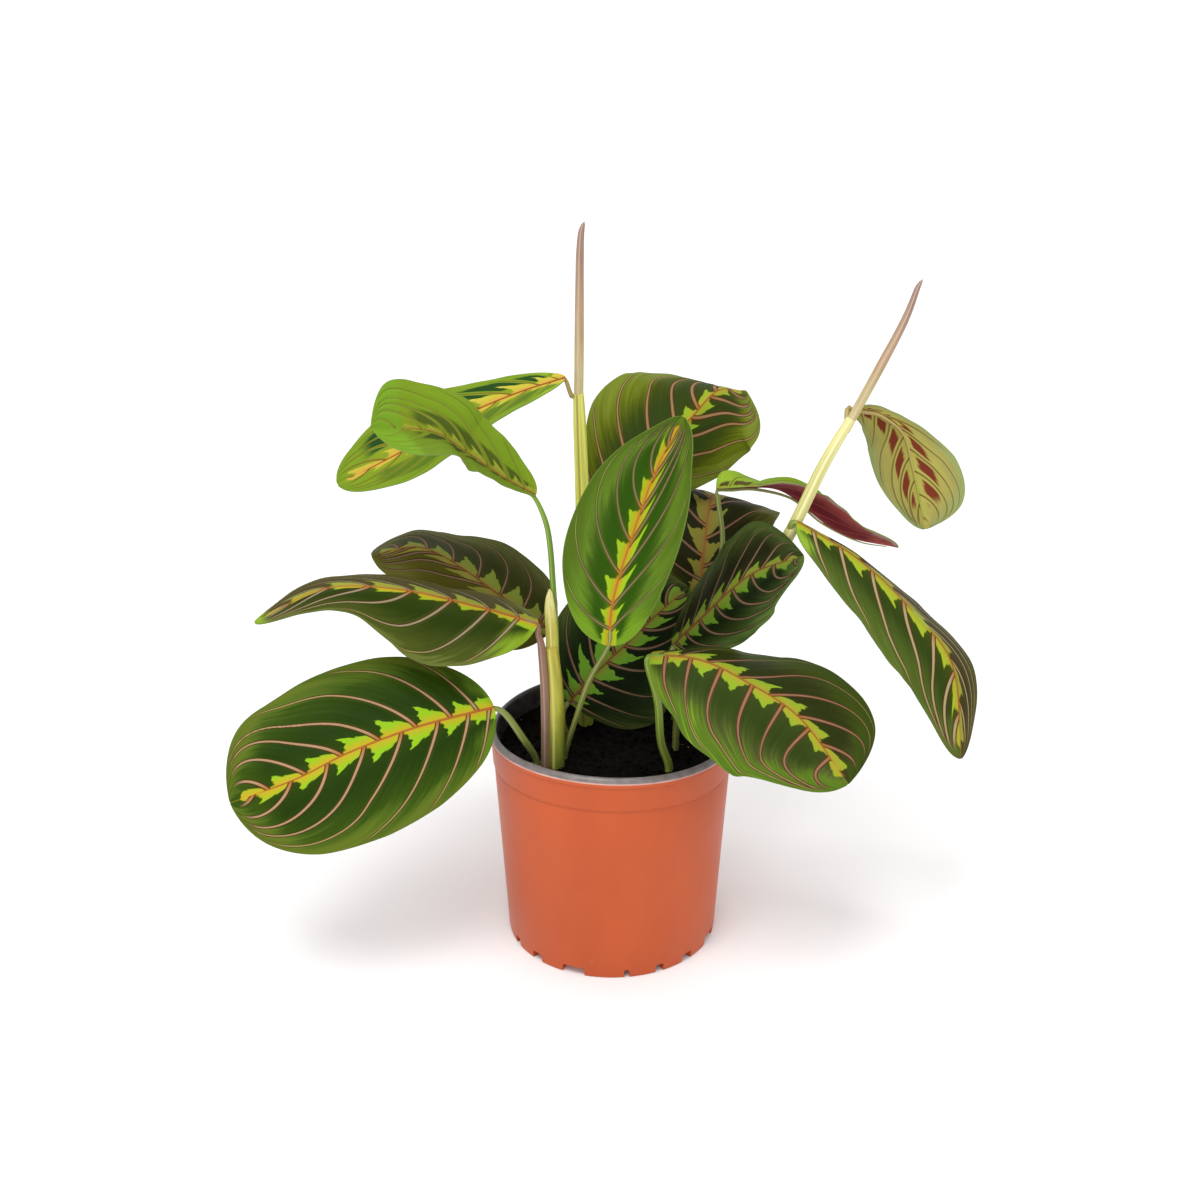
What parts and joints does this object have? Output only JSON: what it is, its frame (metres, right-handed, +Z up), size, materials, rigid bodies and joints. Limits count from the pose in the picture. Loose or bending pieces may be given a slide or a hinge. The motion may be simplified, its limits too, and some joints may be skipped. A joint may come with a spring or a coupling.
{
  "type": "potted prayer plant",
  "caption": "Maranta prayer plant with broad veined oval leaves, upright stems and rolled young leaves, growing from soil in a tapered round plastic pot.",
  "frame": {"origin": "centre of the pot's flat foot, on the surface that it stands on", "axes": "+Z up, -Y towards the front of the plant, +X towards its right"},
  "size_m": [0.3536, 0.1978, 0.356],
  "materials": {
    "pot": "satin moulded terracotta-coloured plastic",
    "soil": "loose dark peat potting soil",
    "leaf": "satin dark green leaf with pale green blotches and pink veins",
    "young_leaf": "satin light green young leaf",
    "stem": "satin pale green sheathed stem",
    "rolled_leaf": "satin pale pink-brown rolled leaf"
  },
  "bodies": {
    "root": {"pot": "pot", "soil": "soil", "leaf_01": "leaf", "leaf_02": "leaf", "leaf_03": "leaf", "leaf_04": "young_leaf", "leaf_05": "young_leaf", "leaf_06": "leaf", "leaf_07": "leaf", "leaf_08": "leaf", "leaf_09": "young_leaf", "leaf_10": "leaf", "leaf_11": "leaf", "leaf_12": "leaf", "leaf_13": "leaf", "leaf_14": "leaf", "stem_left": "stem", "stem_middle": "stem", "stem_right": "stem", "rolled_leaf_left": "rolled_leaf", "rolled_leaf_middle": "rolled_leaf", "rolled_leaf_right": "rolled_leaf"}
  },
  "joints": []
}
